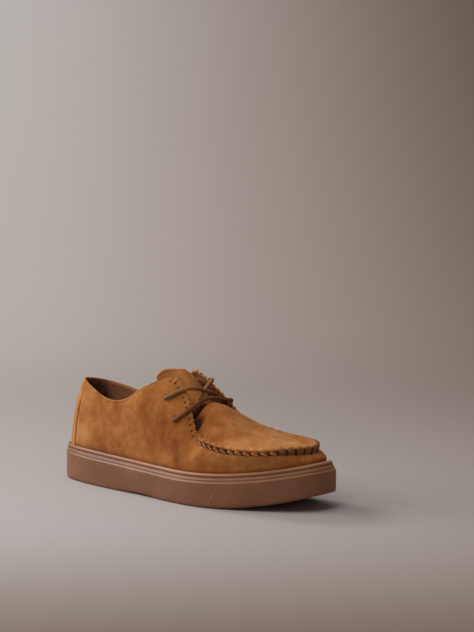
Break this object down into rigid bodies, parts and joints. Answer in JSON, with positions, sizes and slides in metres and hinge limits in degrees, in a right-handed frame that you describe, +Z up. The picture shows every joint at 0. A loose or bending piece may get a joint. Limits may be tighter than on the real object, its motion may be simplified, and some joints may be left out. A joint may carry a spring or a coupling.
{
  "type": "suede sneaker",
  "caption": "Low lace-up suede sneaker with a raised moccasin seam round a plain apron, open collar and flat stitched cup sole, worn on the right foot.",
  "frame": {"origin": "on the floor, under the middle of the shoe's box in length and width", "axes": "+X along the shoe towards the toe, +Y towards the inner side of the foot, +Z up"},
  "size_m": [0.302, 0.1026, 0.1155],
  "materials": {
    "suede": "brushed nap, no gloss",
    "gum_rubber": "satin moulded rubber",
    "footbed_leather": "smooth lining leather",
    "waxed_lace": "waxed round lace"
  },
  "bodies": {
    "root": {"outsole": "gum_rubber", "insole": "footbed_leather", "upper": "suede", "tongue": "suede", "heel_strip": "suede", "lace": "waxed_lace"}
  },
  "joints": []
}
